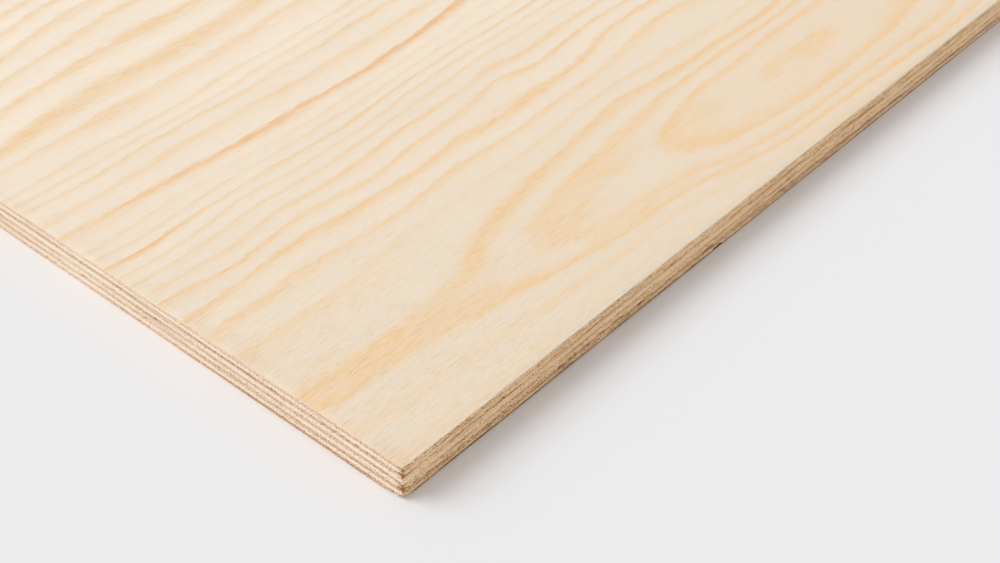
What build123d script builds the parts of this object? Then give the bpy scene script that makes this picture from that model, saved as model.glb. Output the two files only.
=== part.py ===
"""A sheet of nine-ply pine plywood, lying flat on its back veneer.

The grain of the face and back veneers runs along X, and each ply's grain crosses that of its
neighbours. The origin is the middle of the sheet's back. The corner that has been knocked about
is the one at -X, -Y, and the damage is measured from there.
"""

from build123d import *
import os

# Outline of the sheet, in millimetres
sheet_length = 1220.0  # along the grain of the face veneer
sheet_width = 610.0

# Lay-up: an odd number of plies, so that the face and the back run the same way
ply_count = 9
outer_ply = 1.45  # the face veneer and the back veneer, sanded
inner_ply = 1.30  # each ply between them

# Sanding and handling have taken the sharpness off the arrises
face_arris = 0.20
back_arris = 0.30

# The back veneer's corner is knocked off, along one slanted plane
knocked_along = 5.5  # on the long edge
knocked_across = 8.0  # on the end
knocked_height = 1.15

# The saw tore a strip of fibre off the back veneer's long arris
tear_start = 9.0  # from the corner
tear_length = 28.0
tear_depth = 1.8  # into the back
tear_height = 0.65  # up the edge

# Further along, a short flake has come off the same arris
flake_start = 142.4
flake_length = 5.4
flake_depth = 2.2
flake_height = 1.25


def ply_names():
    """The plies in order, from the back up to the face."""
    names = ["back_veneer"]
    for number in range(2, ply_count):
        kind = "long_ply" if number % 2 else "cross_ply"
        names.append(f"{kind}_{number}")
    names.append("face_veneer")
    names[ply_count // 2] = "core_ply"
    return names


def ply_thicknesses():
    """The thickness of each ply, in the same order."""
    return [outer_ply] + [inner_ply] * (ply_count - 2) + [outer_ply]


def veneer(bottom, thickness):
    """One ply: a flat rectangle of wood that lies at the height of its underside."""
    outline = Rectangle(sheet_length, sheet_width)
    return extrude(Pos(0, 0, bottom) * outline, thickness)


def eased(ply, outward, arris):
    """The ply with the arrises of its outer face rubbed down to a small flat."""
    outer_face = ply.faces().sort_by(outward)[-1]
    return chamfer(outer_face.edges(), arris)


def from_corner(along, across, height):
    """A point by its distances from the damaged corner and from the back."""
    return (along - sheet_length / 2, across - sheet_width / 2, height)


def knocked_off():
    """What the corner lost: a three-sided wedge, carried on a little outside the sheet."""
    over = 0.5  # as a share of the wedge
    reach = 1 + 3 * over
    low_along = -over * knocked_along
    low_across = -over * knocked_across
    low = -over * knocked_height
    base = [
        from_corner(low_along, low_across, low),
        from_corner(low_along + reach * knocked_along, low_across, low),
        from_corner(low_along, low_across + reach * knocked_across, low),
    ]
    top = from_corner(low_along, low_across, low + reach * knocked_height)
    return loft([make_face(Polyline(base, close=True)), Vertex(*top)], ruled=True)


def splinter_section(along, depth, height):
    """A slice through a lost splinter: its slanted side runs from the back up to the edge."""
    over = 0.5  # as a share of the slice, outside the sheet
    corners = [
        from_corner(along, -over * depth, -over * height),
        from_corner(along, (1 + over) * depth, -over * height),
        from_corner(along, -over * depth, (1 + over) * height),
    ]
    return make_face(Polyline(corners, close=True))


def lost_splinter(start, length, depth, height):
    """What a tear took off the long arris: it thins out slowly at one end, quickly at the other."""
    shape = [(0.10, 0.75), (0.35, 0.90), (0.75, 1.00), (0.94, 0.80)]  # share of length, of size
    slices = [splinter_section(start + at * length, size * depth, size * height) for at, size in shape]
    tip = Vertex(*from_corner(start, 0, 0))
    end = Vertex(*from_corner(start + length, 0, 0))
    return loft([tip] + slices + [end], ruled=True)


def damaged(back):
    """The back veneer without its corner, the torn strip and the flake."""
    back -= knocked_off()
    back -= lost_splinter(tear_start, tear_length, tear_depth, tear_height)
    back -= lost_splinter(flake_start, flake_length, flake_depth, flake_height)
    return back


def build():
    """Every ply by its name, each lying on the one below."""
    plies = {}
    level = 0.0
    for name, thickness in zip(ply_names(), ply_thicknesses()):
        plies[name] = veneer(level, thickness)
        level += thickness
    plies["face_veneer"] = eased(plies["face_veneer"], Axis.Z, face_arris)
    plies["back_veneer"] = damaged(eased(plies["back_veneer"], -Axis.Z, back_arris))
    return plies


os.makedirs("parts", exist_ok=True)
for node, ply in build().items():
    export_step(ply, f"parts/{node}.step")
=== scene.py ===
"""The looks of a sheet of nine-ply pine plywood that lies flat, with a knocked corner near the camera.

Each ply is a piece of its own. Its sawn sides are divided finely near the corner that the camera
sees and more coarsely elsewhere, and torn, pitted and worn by Displace modifiers. The growth
lines of the face and the back follow lines that were drawn.
"""

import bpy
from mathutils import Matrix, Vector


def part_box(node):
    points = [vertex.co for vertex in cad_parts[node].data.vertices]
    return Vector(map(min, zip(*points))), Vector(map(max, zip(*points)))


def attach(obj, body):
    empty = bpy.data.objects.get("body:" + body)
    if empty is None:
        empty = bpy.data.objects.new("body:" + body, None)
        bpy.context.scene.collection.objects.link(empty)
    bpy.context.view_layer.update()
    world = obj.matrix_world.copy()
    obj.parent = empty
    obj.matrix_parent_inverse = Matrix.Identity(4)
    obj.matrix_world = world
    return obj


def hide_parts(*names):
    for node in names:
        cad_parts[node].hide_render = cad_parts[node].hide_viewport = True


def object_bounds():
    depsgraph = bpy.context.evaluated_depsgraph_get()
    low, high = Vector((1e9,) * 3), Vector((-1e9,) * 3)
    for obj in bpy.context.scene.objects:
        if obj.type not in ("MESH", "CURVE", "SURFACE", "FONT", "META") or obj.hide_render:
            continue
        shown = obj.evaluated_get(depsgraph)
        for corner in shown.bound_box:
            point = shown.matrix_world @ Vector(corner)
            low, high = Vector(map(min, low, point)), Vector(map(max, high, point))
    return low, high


bl_info = {
    "name": "Plywood Sheet",
    "version": (1, 0, 0),
    "blender": (4, 5, 0),
    "location": "3D View > Sidebar > Plywood",
    "description": "Models and finishes the plies of a plywood sheet",
    "category": "Add Mesh",
}

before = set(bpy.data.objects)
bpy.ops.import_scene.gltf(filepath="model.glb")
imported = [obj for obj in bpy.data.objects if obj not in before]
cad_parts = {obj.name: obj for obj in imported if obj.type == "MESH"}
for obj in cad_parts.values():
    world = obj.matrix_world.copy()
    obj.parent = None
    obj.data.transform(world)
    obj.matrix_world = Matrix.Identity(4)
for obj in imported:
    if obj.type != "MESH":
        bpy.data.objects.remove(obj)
cad_box = [list(corner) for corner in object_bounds()]

import math

import bpy
import numpy as np
from mathutils import Matrix, Vector

MM = 0.001
INNER_PLIES = ("cross_ply_2", "long_ply_3", "cross_ply_4", "core_ply", "cross_ply_6", "long_ply_7",
               "cross_ply_8")

# The sheet's corner nearest the camera, and its size, as the frame has them
CORNER = Vector(cad_box[0])
FAR_CORNER = Vector(cad_box[1])
LENGTH = FAR_CORNER.x - CORNER.x
WIDTH = FAR_CORNER.y - CORNER.y

# The camera's place from the near corner, in millimetres, and where it looks, in degrees
CAMERA_PLACE = (-210.70, -195.26, 310.52)
CAMERA_DOWN = 39.395
CAMERA_HEADING = 38.34  # from the long edge towards the end
CAMERA_ROLL = 2.94
FLOOR_RADIUS = 14  # in metres

# Seeds of the random pits on the far sides; the inner plies count on from theirs
FACE_SEED = 9
INNER_SEED = 20
BACK_SEED = 40

# How finely the sides and the broad faces are divided, near the corner and beyond it
ROWS = 5  # about this many up the side of a ply
FINE_SIDES = (0.5 * MM, 1.5 * MM)
FINE_FACES = (2.4 * MM, 6 * MM)
HAIR = 0.001 * MM  # places closer than this are the same
UPRIGHT = 0.99  # a face that looks further up or down than this is level

# The map of a ply's surface: how much of a side fits in one row, in metres, and the rows it has
MAP_STRETCH = 0.305
MAP_ROWS = 12


def srgb(red, green, blue):
    """A colour as it looks on screen, from 0 to 255, in the linear values that Blender mixes."""
    def linear(value):
        value /= 255
        return value / 12.92 if value <= 0.04045 else ((value + 0.055) / 1.055) ** 2.4
    return (linear(red), linear(green), linear(blue))


def length_property(name, description, millimetres):
    return bpy.props.FloatProperty(name=name, description=description, default=millimetres * MM,
                                   unit="LENGTH", min=0)


def colour_property(name, description, red, green, blue):
    return bpy.props.FloatVectorProperty(name=name, description=description, subtype="COLOR", size=3,
                                         min=0, max=1, default=srgb(red, green, blue))


def angle_property(name, description, degrees):
    return bpy.props.FloatProperty(name=name, description=description, default=math.radians(degrees),
                                   subtype="ANGLE")


def strength_property(name, description, strength):
    return bpy.props.FloatProperty(name=name, description=description, default=strength, min=0)


class PlywoodSizes(bpy.types.PropertyGroup):
    near_length: length_property("Near length", "Stretch of the long edge that is seen close to", 350)
    near_width: length_property("Near width", "Stretch of the end that is seen close to", 280)
    arris: length_property("Arris", "Sanded arris round the face and the back", 0.16)
    rim: length_property("Rim", "Strip that joins the fine sides to the coarser faces", 2.5)
    fuzz: length_property("End-grain fuzz", "How deep the saw tore the end grain", 0.022)
    furrow: length_property("Side-grain furrows", "How deep the furrows along the side grain are", 0.022)
    ledge: length_property("Ledge", "How far the end grain is worn back behind the side grain", 0.04)
    deepest: length_property("Deepest loss", "Depth of the deepest pit or torn strip", 2.4)


class PlywoodColours(bpy.types.PropertyGroup):
    face_pale: colour_property("Face, pale", "Early wood on the pale side of the face", 250, 236, 217)
    face_warm: colour_property("Face, warm", "Early wood near the long edge", 234, 217, 194)
    face_line: colour_property("Growth lines", "Late wood in the growth lines of the face", 243, 206, 157)
    face_red: colour_property("Resinous line", "The growth line with the most resin", 241, 190, 137)
    end_side: colour_property("Cross plies on the ends", "Side grain, clean", 246, 229, 208)
    end_fibre: colour_property("Long plies on the ends", "End grain, clean", 241, 211, 181)
    # The long edges' colours are warmer and browner than the ends', partly the wood's own colour and partly
    # painted shade for the shade that the near long edge lies in
    edge_side: colour_property("Long plies on the long edges", "Side grain, yellowed", 255, 221, 175)
    edge_fibre: colour_property("Cross plies on the long edges", "End grain, browned", 254, 211, 161)
    pit: colour_property("Pits", "Bottom of pits and torn places", 170, 112, 66)
    floor: colour_property("Floor", "Plain pale floor", 236, 236, 237)


class PlywoodStage(bpy.types.PropertyGroup):
    lens: bpy.props.FloatProperty(name="Lens", description="Focal length in millimetres", default=58.0,
                                  min=1, subtype="DISTANCE_CAMERA")
    key: strength_property("Key light", "Strength of the soft light", 1.85)
    key_height: angle_property("Key height", "Height of the soft light", 43)
    key_heading: angle_property("Key heading", "Where the soft light stands", 128.5)
    key_softness: angle_property("Key softness", "Angle that the soft light fills", 42)
    fill: strength_property("Fill light", "Strength of the light from all round", 0.6)


# The wood's other colours, with those that stand for painted light marked
GRAIN_BROWN = srgb(223, 196, 162)
GRAIN_PALE = srgb(252, 240, 222)
RESIN_CANAL = srgb(206, 158, 108)
HANDLED = srgb(214, 176, 136)
# Pale fibres on the long rims of the face, partly a painted highlight along the arris
FRAYED_AND_HIGHLIT = srgb(255, 246, 232)
BLEACHED = srgb(250, 246, 235)
TANNED = srgb(216, 199, 180)
DARK_BROWN = srgb(136, 87, 52)
# The colour of the painted contact shadow at the foot of the long edges
CONTACT_SHADOW = srgb(84, 60, 46)
FACE_BUMP = 0.02  # in millimetres
SIDE_BUMP = 0.03

# How dark a growth line is through a year's growth, for a sharp line and for a soft one
SHARP_LINE = [(0.0, 0.42), (0.05, 0.12), (0.12, 0.0), (0.42, 0.04), (0.62, 0.26), (0.76, 0.62), (0.86, 1.0),
              (0.94, 0.9), (1.0, 0.5)]
SOFT_LINE = [(0.0, 0.75), (0.1, 0.4), (0.2, 0.08), (0.32, 0.1), (0.5, 0.5), (0.66, 0.85), (0.85, 1.0),
             (1.0, 0.85)]

# The finishes of the sawn sides: the clean colour, the axis that the side runs along, how dark a ply
# is from its underside to its top, and what 0 and 1 stand for there
SAWN_SIDES = {
    "side_grain_end": ("end_side", "Y", [(0.0, 0.3), (0.2, 0.1), (0.55, 0.1), (0.85, 0.4), (1.0, 0.6)], 0, 1),
    # On the long edges the upper part of each side-grain ply is paler, partly as a painted highlight where
    # its upper rim would catch the light
    "side_grain_edge": ("edge_side", "X", [(0.0, 1.0), (0.25, 0.9), (0.5, 0.65), (0.72, 0.2), (0.88, 0.0),
                                           (1.0, 0.3)], -0.5, 1.1),
    "end_grain_end": ("end_fibre", "Y", [(0.0, 0.6), (0.2, 0.85), (0.45, 0.95), (0.75, 0.55), (1.0, 0.1)],
                      0, 1),
    "end_grain_edge": ("edge_fibre", "X", [(0.0, 0.05), (0.2, 0.25), (0.5, 0.5), (0.8, 0.6), (1.0, 0.55)],
                       -0.3, 1.1),
}

# How strongly the wood's marks show on the sides that run along each axis
SIDE_LOOKS = {
    "X": {"streaks": 2.8, "grain": 2.0, "bands": 1.6, "shred_length": 9.0, "shreds": 2.5, "pores": 1.8,
          "torn": 2.4, "whiter": 0.2},
    "Y": {"streaks": 1.3, "grain": 1.5, "bands": 1.2, "shred_length": 20.0, "shreds": 1.3, "pores": 1.2,
          "torn": 1.3, "whiter": 0.55},
}

# The relief of wood sawn across its fibres and along them: its detail, and the size of its features
# in millimetres, for the sides that it moves along X and along Y
RELIEF = {
    "end_grain": (3, {"X": (0.8, 4, 0.45), "Y": (2, 0.8, 0.45)}),
    "side_grain": (2, {"X": (45, 45, 0.45), "Y": (45, 45, 0.45)}),
}
LOWEST_CLOUD = -0.2  # the texture's contrast takes it below nothing

# Growth lines of the face, numbered outwards from the heart of its arches. Each point is where a
# line's late wood is darkest: millimetres from the near corner along the sheet, then across it.
FACE_LINES = {
    1: [(167, 34), (169.5, 38.5), (177, 41.5), (185, 44), (205, 48), (222, 47.6), (245, 49.2), (270, 49.2),
        (300, 52), (169.5, 31), (175, 28.5), (182, 25), (200, 20.8), (220, 18.6), (250, 18.5), (298, 22)],
    2: [(98, 33), (103, 38), (110, 42.5), (132, 46), (145, 48), (160, 51.5), (190, 53.8), (235, 55.5),
        (101, 29.5), (110, 26), (120, 24), (142, 22.5), (152, 21), (163, 19.5), (172, 16.5), (200, 12.8),
        (230, 11.5), (300, 11)],
    3: [(0, 36.2), (25, 36.4), (45, 36.6), (60, 37.4), (68, 38.7), (75, 41), (83, 45.4), (90, 48.6),
        (112, 53.7), (132, 56.8), (143, 57.8), (150, 60), (162, 61.2), (174, 63.6), (188, 62.4),
        (204, 60.6), (238, 60.6), (268, 60.6), (0, 32), (25, 31.8), (45, 30.4), (62, 25.8), (79, 23.4),
        (96, 20.8), (110, 18.8), (124, 17.2), (140, 17.6), (160, 14.9), (174, 11.4), (196, 8), (230, 7.2),
        (270, 5.4), (300, 4)],
    4: [(0, 60), (32, 61.2), (45, 60.5), (58, 63), (75, 65), (130, 66.5), (165, 69.5), (200, 69), (262, 67)],
    5: [(0, 72.3), (12, 73.8), (27, 74), (34, 75.5), (45, 74.4), (85, 74.4), (109, 77.8), (118, 76.5),
        (150, 77.3), (190, 80), (203, 82), (215, 84.5), (235, 86)],
    6: [(0, 83), (18, 83.6), (32, 85.5), (45, 86.8), (56, 86.5), (63, 84.8), (75, 85.6), (103, 84.6),
        (125, 88), (133, 85.2), (143, 85), (152, 88), (165, 86.6), (193, 89), (203, 92.8), (233, 94.8)],
    7: [(0, 93.4), (15, 93.2), (24, 91.4), (62, 95), (84, 92.2), (107, 95.2), (135, 97), (157, 101),
        (168, 98.8), (182, 98.6), (212, 102), (228, 102.4)],
    8: [(0, 100.2), (27, 99), (42, 99.6), (52, 102), (66, 101.2), (100, 102.6), (112, 104.8), (148, 106.4),
        (163, 109.2), (170, 106.6), (220, 109)],
    9: [(0, 106.2), (18, 105.6), (55, 108.8), (92, 109), (128, 111.8), (148, 113.8), (175, 115.4),
        (212, 116.4)],
    10: [(0, 111), (30, 111.4), (57, 114.4), (72, 113.2), (110, 115), (130, 118), (172, 120.6), (205, 121.8)],
    11: [(0, 117.6), (15, 116.6), (28, 118), (75, 119.5), (125, 122.3), (170, 125.4), (200, 126.2)],
    12: [(0, 122.8), (22, 122), (85, 125), (150, 129), (190, 131)],
    13: [(0, 127), (90, 129.5), (130, 132), (170, 135.5)],
    14: [(0, 138.6), (12, 137.6), (47, 138.2), (65, 136.9), (105, 137.8), (145, 139.8), (175, 144),
        (190, 146.4)],
    15: [(0, 146.5), (45, 148.2), (70, 150), (100, 149.6), (155, 152), (178, 153.8)],
    16: [(0, 156.4), (50, 158), (80, 158.5), (105, 160.2), (130, 160.8), (150, 163.2), (168, 164)],
    17: [(5, 160.6), (40, 161.6), (90, 163.4), (105, 166), (145, 168.6), (165, 170.2)],
    18: [(0, 165.4), (25, 167), (60, 167.6), (120, 171.8), (155, 174)],
    19: [(10, 178.3), (28, 179.6), (65, 181), (85, 180.8), (102, 183.6), (143, 188)],
    20: [(20, 188), (38, 193), (65, 195.2), (95, 196), (125, 200)],
    21: [(32, 206.6), (48, 209.2), (92, 214), (105, 213), (115, 214.8)],
    22: [(42, 220), (58, 223.6), (95, 230)],
    23: [(52, 233), (80, 241), (95, 242.6)],
    24: [(58, 245), (90, 253)],
    25: [(65, 256), (85, 260)],
}
LATE_WOOD = 0.85  # share of a year's growth at which the line is darkest

# Heights of the face's figure, in growth rings: along, across, ring. The first are on the crest
# that the arches run along, and the others carry the figure over the rest of the sheet.
FACE_HEIGHTS = [
    (230, 36, -0.14), (238, 35.5, -0.04), (250, 35, -0.15), (262, 35, -0.1), (276, 35, 0.1),
    (216, 34.5, 0.12), (200, 34, 0.32), (190, 34, 0.45), (180, 33.5, 0.62), (173, 34, 0.75),
    (160, 34, 1.12), (145, 32.5, 1.28), (131, 32.5, 1.5), (124, 32.5, 1.68), (117, 34, 1.8),
    (109, 35, 1.86), (100, 35, 1.93), (92, 35, 2.03), (84, 34.5, 2.18), (77, 33.5, 2.35), (71, 33, 2.56),
    (64, 32.5, 2.74), (40, 33.5, 2.8), (20, 34, 2.8), (0, 34, 2.8), (0, 41, 3.14), (22, 41.2, 3.14),
    (43, 41.4, 3.14), (62, 42.2, 3.1), (128, 38, 1.7), (142, 39.5, 1.66), (155, 46, 1.6), (175, 48.5, 1.6),
    (112, 29.5, 1.72), (128, 27, 1.64), (150, 24, 1.6), (300, 36, 0.3), (0, 18, 3.8), (40, 14.5, 3.82),
    (75, 14, 3.75), (60, 3.5, 4.8), (20, 3.5, 4.7), (340, 36, 0.9), (390, 38, 1.7), (450, 40, 0.9),
    (520, 42, -0.6), (600, 42, -1.7), (680, 40, -0.8), (750, 38, 0.7), (820, 36, 1.8), (900, 38, 0.4),
    (980, 42, -1.3), (1060, 44, -2.2), (1140, 44, -1.2), (1230, 42, 0.3), (350, 0, 4.0), (600, 0, 1.4),
    (850, 0, 4.6), (1060, 0, 1.0), (1230, 0, 3.2), (350, 90, 5.4), (600, 95, 2.6), (850, 90, 5.8),
    (1060, 100, 2.2), (1230, 95, 4.6), (260, 140, 12.2), (420, 150, 11.0), (600, 160, 9.2),
    (850, 150, 11.6), (1060, 165, 8.6), (1230, 155, 10.6), (240, 220, 20.4), (420, 225, 18.4),
    (620, 230, 16.2), (850, 225, 18.2), (1060, 235, 14.8), (1230, 225, 17.0), (0, 275, 28.4),
    (160, 290, 28.6), (300, 300, 27.2), (480, 300, 24.8), (660, 300, 22.0), (850, 300, 23.6),
    (1040, 305, 20.4), (1230, 300, 22.4), (0, 345, 31.4), (200, 350, 31.0), (420, 350, 28.2),
    (640, 350, 24.2), (860, 350, 26.4), (1060, 350, 23.2), (1230, 350, 25.0), (0, 420, 27.2),
    (220, 425, 25.6), (420, 420, 23.4), (640, 420, 20.2), (860, 425, 21.4), (1060, 420, 19.2),
    (1230, 420, 20.6), (0, 500, 22.4), (140, 498, 20.6), (290, 495, 18.4), (430, 492, 19.8),
    (560, 490, 17.0), (700, 490, 14.2), (830, 494, 16.2), (940, 498, 17.8), (1080, 500, 15.0),
    (1230, 500, 16.6), (0, 560, 26.0), (290, 560, 22.6), (560, 560, 20.4), (820, 565, 20.0),
    (1080, 560, 19.4), (1230, 560, 21.0), (0, 610, 30.6), (290, 610, 27.8), (560, 610, 25.2),
    (820, 610, 25.4), (1080, 610, 24.0), (1230, 610, 26.2),
]

# The back's figure, kept plainer
BACK_HEIGHTS = [
    (0, 0, 20.0), (300, 0, 17.4), (620, 0, 15.2), (920, 0, 17.2), (1220, 0, 19.2), (0, 90, 13.0),
    (200, 92, 11.2), (420, 95, 9.0), (640, 96, 7.4), (860, 94, 9.6), (1060, 92, 11.4), (1220, 90, 12.4),
    (0, 160, 7.4), (160, 162, 5.8), (330, 165, 3.2), (500, 168, 0.6), (660, 170, -0.8), (800, 168, 0.9),
    (940, 164, 3.4), (1080, 162, 5.6), (1220, 160, 7.2), (0, 240, 13.6), (300, 245, 9.6), (640, 250, 6.0),
    (940, 245, 9.8), (1220, 240, 13.0), (0, 340, 23.4), (300, 345, 18.8), (640, 350, 15.6),
    (940, 345, 19.2), (1220, 340, 22.6), (0, 430, 27.6), (300, 432, 25.4), (640, 435, 21.2),
    (940, 432, 24.8), (1220, 430, 26.6), (0, 520, 22.6), (240, 522, 19.8), (480, 524, 16.6),
    (720, 524, 15.8), (960, 522, 18.6), (1220, 520, 21.0), (0, 610, 29.6), (300, 610, 26.4),
    (640, 610, 22.8), (940, 610, 25.6), (1220, 610, 28.4),
]

# Where the lines of the photograph end: along, across, and on the slant between them
DRAWN_ALONG = 300
DRAWN_ACROSS = 262
DRAWN_SLANTING = 345

# How the figure wanders beyond them: by how many rings, over hills of what size, and their seed
WAVES = [(0.45, (95, 17), 3), (0.22, (34, 7), 5)]

# How strongly each growth line shows, by its number; the others get USUAL_STRENGTH
LINE_STRENGTH = {0: 0.9, 1: 1.1, 2: 1.0, 3: 1.15, 4: 0.6, 5: 0.8, 6: 1.05, 7: 0.9, 8: 0.75, 9: 0.65, 10: 0.6,
                 11: 0.8, 12: 0.5, 13: 0.35, 14: 1.3, 15: 0.6, 16: 0.7, 17: 0.55, 18: 0.6, 19: 0.7, 20: 0.95,
                 21: 0.85, 22: 0.85, 23: 0.9, 24: 0.8, 25: 0.7}
USUAL_STRENGTH = 0.7
RESIN_LINE = 14
BROAD_LINES = {1: 0.3, 2: 0.3, 3: 0.35, 20: 1.0}  # from narrow and sharp, 0, to broad and soft, 1

# Where lines are faint: millimetres along and across, half length, half width, what is left
FADED_PLACES = [
    (90, 34, 9, 9, 0.4), (110, 1, 110, 6, 0.25), (20, 35, 50, 7, 0.85), (147, 33, 18, 5, 0.3),
    (18, 117, 14, 1.5, 1.6), (3, 138.7, 20, 5, 0.6), (84, 44, 9, 4, 1.25), (100, 65, 45, 6, 0.5),
    (150, 22.5, 9, 3, 0.65), (42, 25.5, 12, 3, 0.6), (35, 12.5, 40, 3, 0.4), (128, 9.5, 22, 3, 0.5),
    (225, 60, 42, 4.5, 1.35), (255, 9, 42, 7, 1.4),
]

# Where lines are broken into patches, where late wood fills the room between lines, and where other
# lines are resinous too: millimetres along and across, half length, half width, share
PATCHY_PLACES = [(112, 33, 34, 13, 1), (60, 34, 20, 6, 1)]
FILLED_PLACES = [
    (62, 30.5, 12, 6.5, 1.05), (16, 44, 6, 1.4, 0.5), (115, 21.5, 11, 3.5, 0.85), (130, 20, 13, 5, 0.75),
    (150, 18, 11, 4, 0.5), (172, 13, 13, 3.5, 0.6), (150, 43, 13, 4, 0.45), (143, 41, 9, 4.5, 0.8),
    (116, 35, 11, 4, 0.6), (190, 38, 13, 7, 0.55), (245, 30, 75, 42, 0.2),
]
RESIN_PLACES = [(17, 117, 12, 3, 0.8)]
RESIN_START = (15, 85)  # millimetres from the end over which the resinous line reddens

ALONG_GRAIN = 0.33  # the figure is this much slower along the grain

# Pits and splits in the sawn sides: millimetres from the near corner, height, half length, half
# height, depth
END_PITS = [
    (0.2, 11.5, 1.0, 0.4, 0.8), (0.3, 9.1, 1.3, 0.5, 0.9), (0.2, 4.9, 0.9, 0.6, 0.8),
    (0.4, 3.6, 1.2, 0.5, 0.9), (0.2, 7.6, 0.6, 0.3, 0.4), (0.3, 1.3, 0.8, 0.5, 0.5),
    (7.2, 8.95, 0.5, 0.3, 0.4), (16.0, 8.9, 0.5, 0.35, 0.6), (19.0, 8.7, 0.4, 0.3, 0.4),
    (21.5, 9.0, 0.5, 0.25, 0.4), (24.2, 8.8, 0.4, 0.3, 0.4), (28.3, 8.9, 0.5, 0.35, 0.4),
    (33.0, 8.75, 0.5, 0.3, 0.4), (47.0, 8.9, 1.2, 0.25, 0.5), (49.3, 8.6, 0.6, 0.25, 0.5),
    (57.0, 8.9, 0.6, 0.3, 0.4), (66.0, 8.8, 0.8, 0.25, 0.4), (37.0, 6.2, 0.4, 0.3, 0.3),
    (46.5, 3.6, 0.6, 0.3, 0.5), (62.0, 3.4, 2.2, 0.16, 0.5), (65.5, 3.62, 2.0, 0.16, 0.5),
    (69.5, 3.5, 1.0, 0.2, 0.4), (100.6, 3.45, 0.8, 0.3, 0.5), (128.7, 3.45, 1.1, 0.3, 0.5),
    (96.0, 5.9, 0.8, 0.25, 0.3), (132.0, 8.9, 0.9, 0.25, 0.4), (141.0, 8.8, 1.4, 0.3, 0.5),
    (155.0, 8.9, 1.2, 0.25, 0.4), (3.5, 0.9, 0.8, 0.4, 0.4), (12.0, 0.9, 0.7, 0.4, 0.4),
    (27.0, 0.8, 0.9, 0.35, 0.3), (44.0, 0.7, 0.8, 0.4, 0.3),
]
LONG_EDGE_PITS = [
    (0.3, 11.6, 1.3, 0.35, 0.8), (0.2, 10.6, 1.0, 0.35, 0.6), (0.3, 8.5, 1.0, 0.5, 0.8),
    (0.2, 4.6, 1.1, 0.6, 0.9), (0.5, 3.5, 1.4, 0.45, 0.8), (2.6, 11.2, 0.8, 0.25, 0.5),
    (13.5, 11.3, 2.6, 0.14, 0.4), (19.5, 11.1, 0.6, 0.2, 0.4), (25.5, 11.05, 0.8, 0.26, 0.9),
    (31.5, 11.2, 1.6, 0.18, 0.4), (8.5, 11.2, 0.7, 0.18, 0.3), (16.0, 9.3, 1.2, 0.14, 0.3),
    (23.6, 9.3, 0.7, 0.3, 0.4), (40.0, 8.8, 0.6, 0.25, 0.4), (7.3, 6.2, 0.6, 0.25, 0.4),
    (24.0, 5.9, 0.7, 0.22, 0.3), (31.5, 6.2, 0.8, 0.25, 0.35), (40.0, 6.0, 0.6, 0.3, 0.3),
    (5.0, 3.6, 1.6, 0.16, 0.4), (17.5, 3.7, 2.0, 0.16, 0.4), (24.5, 3.2, 1.2, 0.2, 0.4),
    (43.0, 3.35, 3.0, 0.18, 0.5), (50.5, 3.3, 3.0, 0.16, 0.5), (57.3, 3.2, 1.0, 0.28, 0.5),
    (66.0, 2.9, 0.8, 0.4, 0.6), (70.5, 2.9, 0.7, 0.35, 0.6), (72.3, 3.4, 0.7, 0.3, 0.8),
    (79.0, 2.9, 0.9, 0.35, 0.5), (83.8, 3.3, 1.0, 0.3, 0.8), (93.5, 3.35, 1.8, 0.24, 0.6),
    (88.0, 5.2, 2.6, 0.2, 0.4), (83.0, 5.9, 1.0, 0.25, 0.4), (93.0, 5.7, 1.0, 0.25, 0.4),
    (105.0, 2.8, 1.6, 0.18, 0.5), (107.6, 3.2, 1.5, 0.2, 0.6), (85.0, 11.2, 1.0, 0.2, 0.4),
    (95.0, 11.1, 0.8, 0.25, 0.4), (107.0, 11.2, 0.7, 0.3, 0.3), (120.0, 11.1, 1.4, 0.2, 0.3),
    (137.0, 11.1, 1.5, 0.2, 0.3), (179.0, 11.1, 1.6, 0.2, 0.3), (126.0, 11.0, 2.0, 0.2, 0.3),
    (138.8, 2.6, 3.2, 0.4, 0.6), (143.8, 1.8, 1.6, 0.3, 0.35), (58.0, 6.1, 1.6, 0.2, 0.3),
    (63.0, 9.0, 1.8, 0.18, 0.3),
]

# What the back's long arris lost: start, length, depth into the back, height up the edge. Each
# loss thins out towards both ends: share of its length, share of its depth.
TORN_STRIPS = [(9.0, 28.0, 1.8, 0.65), (142.4, 5.4, 2.2, 1.25)]
STRIP_SHAPE = [(0, 0), (0.1, 0.75), (0.35, 0.9), (0.75, 1), (0.94, 0.8), (1, 0)]

# The back's corner is knocked off along the plane that reaches this far along its three arrises
KNOCKED = (5.5, 8.0, 1.15)

# How much darker each ply is than clean wood on the ends, how much of that fades away from the near
# corner, and how much darker the ply is on the long edges
TONES = {"face_veneer": (-0.65, 0.35, -0.9),
         "cross_ply_8": (-0.1, 0.5, -0.1),
         "long_ply_7": (-0.1, 0.25, -0.1),
         "cross_ply_6": (-0.3, 0.45, -0.5),
         "core_ply": (-0.25, 0.5, -1.1),
         "cross_ply_4": (-0.15, 0.05, -0.05),
         "long_ply_3": (-0.15, 0.45, -0.6),
         "cross_ply_2": (-0.25, 0.4, 0.65),
         "back_veneer": (0.2, 0.8, -0.12)}
FADING = (45, 125)  # millimetres from the corner between which it fades

# How far the lines of the section ride up the side, in millimetres: (from the corner, rise)
RISING_ENDS = [(0, 0.5), (12, 0.45), (30, 0.15), (50, 0.0)]
RISING_EDGES = [(0, 0.15), (25, 0.15), (50, 0.4), (80, 0.6), (110, 0.6), (140, 0.35), (215, 0.3), (240, 0.1),
                (280, 0.0), (340, -0.2), (420, 0.0)]

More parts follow.
